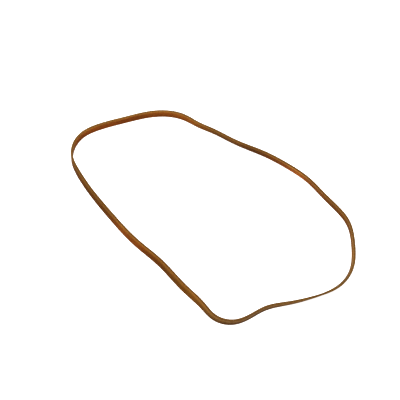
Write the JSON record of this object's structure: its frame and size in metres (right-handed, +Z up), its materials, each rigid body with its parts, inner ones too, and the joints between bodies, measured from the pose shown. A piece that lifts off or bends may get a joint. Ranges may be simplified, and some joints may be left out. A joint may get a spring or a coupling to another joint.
{
  "type": "rubber band",
  "caption": "Long, narrow band of natural rubber with a flat rectangular section, lying loose on its cut edge in a wandering ring.",
  "frame": {"origin": "middle of the lying band, at the height of the table it rests on", "axes": "+Z up from the table, +X along the ring's longest reach, +Y along its other reach"},
  "size_m": [0.1093, 0.0944, 0.0033],
  "materials": {
    "natural_rubber": "satin"
  },
  "bodies": {
    "root": {"rubber_band": "natural_rubber"}
  },
  "joints": []
}
